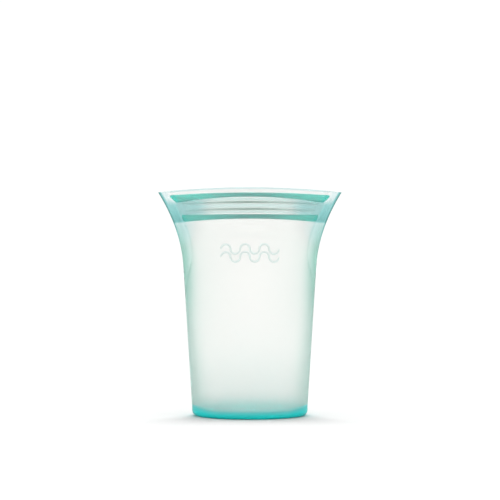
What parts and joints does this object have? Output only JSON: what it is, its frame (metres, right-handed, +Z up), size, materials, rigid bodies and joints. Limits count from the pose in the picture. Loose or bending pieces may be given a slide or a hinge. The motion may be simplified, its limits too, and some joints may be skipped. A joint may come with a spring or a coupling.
{
  "type": "reusable silicone storage bag",
  "caption": "Standing silicone storage bag with a round base, translucent walls and a flared press-to-close mouth.",
  "frame": {"origin": "on the rest plane, under the centre of the round base", "axes": "+Z up, +X to the right along the mouth, -Y towards the front wall with the raised ripples"},
  "size_m": [0.131, 0.082, 0.162],
  "materials": {
    "heel_silicone": "satin, thick translucent silicone",
    "wall_silicone": "satin, thin translucent silicone",
    "zip_silicone": "satin, translucent silicone",
    "rail_silicone": "satin, solid translucent silicone"
  },
  "bodies": {
    "cup": {"heel_ring": "heel_silicone", "floor_disc": "heel_silicone", "wall_foot": "wall_silicone", "left_side_fold": "wall_silicone", "right_side_fold": "wall_silicone", "left_corner_web": "wall_silicone", "right_corner_web": "wall_silicone", "left_corner_edge": "wall_silicone", "right_corner_edge": "wall_silicone"},
    "front_lip": {"front_wall": "wall_silicone", "front_lip_skin": "zip_silicone", "front_lower_rail": "rail_silicone", "front_upper_rail": "rail_silicone", "front_pull_lip": "wall_silicone", "lower_zip_bead": "zip_silicone", "upper_zip_bead": "zip_silicone", "raised_ripples": "wall_silicone"},
    "rear_lip": {"rear_wall": "wall_silicone", "rear_lip_skin": "zip_silicone", "rear_lower_rail": "rail_silicone", "rear_upper_rail": "rail_silicone", "rear_pull_lip": "wall_silicone", "lower_zip_rib": "zip_silicone", "middle_zip_rib": "zip_silicone", "upper_zip_rib": "zip_silicone"}
  },
  "joints": [
    {"name": "front_opens", "type": "hinge", "parent": "cup", "child": "front_lip", "pos_m": [0, -0.041, 0.0125], "axis": [1, 0, 0], "range_deg": [0, 9]},
    {"name": "rear_opens", "type": "hinge", "parent": "cup", "child": "rear_lip", "pos_m": [0, 0.041, 0.0125], "axis": [-1, 0, 0], "range_deg": [0, 9]}
  ],
  "couplings": [
    {"joint": "rear_opens", "follows": "front_opens", "ratio": 1}
  ]
}
